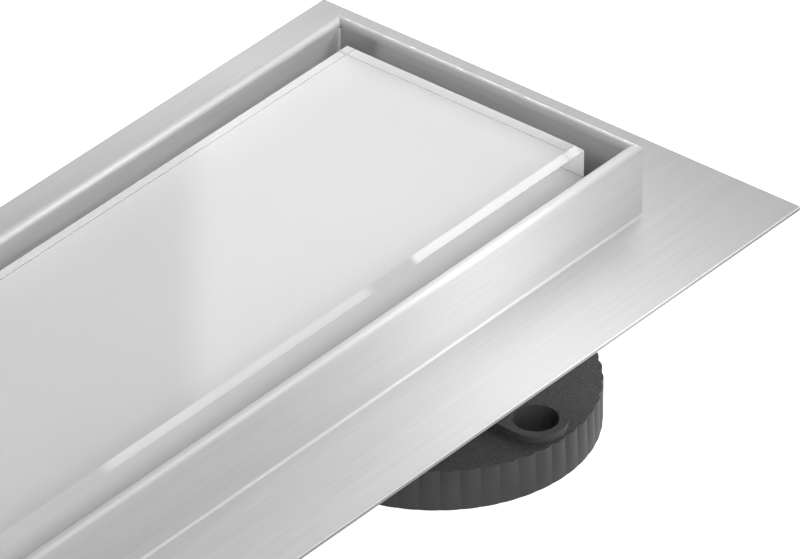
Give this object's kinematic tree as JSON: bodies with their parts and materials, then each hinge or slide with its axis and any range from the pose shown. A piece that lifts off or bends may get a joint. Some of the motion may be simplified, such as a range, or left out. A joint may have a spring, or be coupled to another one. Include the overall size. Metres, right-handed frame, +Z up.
{
  "type": "linear shower drain",
  "caption": "Linear shower drain: brushed steel channel with raised rim and flange, bevelled white glass cover, trap with side outlet and fluted levelling feet.",
  "frame": {"origin": "middle of the trap's flat base, on the floor, under the middle of the channel", "axes": "+X along the channel, +Y towards the outlet spigot, +Z up"},
  "size_m": [0.6, 0.174, 0.076],
  "materials": {
    "brushed_stainless": "brushed",
    "plain_stainless": "mill finish",
    "zinc_steel": "bright zinc plated",
    "cover_glass": "polished, white behind",
    "bond_tape": "foam tape",
    "black_rubber": "moulded",
    "foot_plastic": "fine grained moulding",
    "trap_plastic": "satin moulding",
    "tube_plastic": "smooth moulding"
  },
  "bodies": {
    "drain": {"channel_body": "brushed_stainless", "glass_panel": "cover_glass", "cover_tray": "plain_stainless", "bond_strip_front": "bond_tape", "bond_strip_rear": "bond_tape", "outlet_gasket": "black_rubber", "trap_body": "trap_plastic", "clamp_ring": "plain_stainless", "clamp_screws": "zinc_steel", "dip_tube": "tube_plastic", "tube_seal": "black_rubber", "hair_strainer": "plain_stainless", "support_bridge_inner_left": "plain_stainless", "buffer_pad_inner_left": "black_rubber", "support_bridge_outer_left": "plain_stainless", "buffer_pad_outer_left": "black_rubber", "foot_stud_left": "plain_stainless", "support_bridge_inner_right": "plain_stainless", "buffer_pad_inner_right": "black_rubber", "support_bridge_outer_right": "plain_stainless", "buffer_pad_outer_right": "black_rubber", "foot_stud_right": "plain_stainless"},
    "lock_nut_left": {"lock_nut_left": "zinc_steel"},
    "foot_left": {"levelling_foot_left": "foot_plastic", "foot_nut_left": "zinc_steel"},
    "lock_nut_right": {"lock_nut_right": "zinc_steel"},
    "foot_right": {"levelling_foot_right": "foot_plastic", "foot_nut_right": "zinc_steel"}
  },
  "joints": [
    {"name": "foot_rise_left", "type": "slide", "parent": "drain", "child": "lock_nut_left", "axis": [0, 0, 1], "range_m": [-0.01, 0.0025]},
    {"name": "foot_turn_left", "type": "hinge", "parent": "lock_nut_left", "child": "foot_left", "pos_m": [-0.2593, 0, 0.009], "axis": [0, 0, 1], "range_deg": [-2885, 725]},
    {"name": "foot_rise_right", "type": "slide", "parent": "drain", "child": "lock_nut_right", "axis": [0, 0, 1], "range_m": [-0.01, 0.0025]},
    {"name": "foot_turn_right", "type": "hinge", "parent": "lock_nut_right", "child": "foot_right", "pos_m": [0.2593, 0, 0.009], "axis": [0, 0, 1], "range_deg": [-2885, 725]}
  ],
  "couplings": [
    {"joint": "foot_turn_left", "follows": "foot_rise_left", "rad_per_m": 5026.5},
    {"joint": "foot_turn_right", "follows": "foot_rise_right", "rad_per_m": 5026.5}
  ]
}
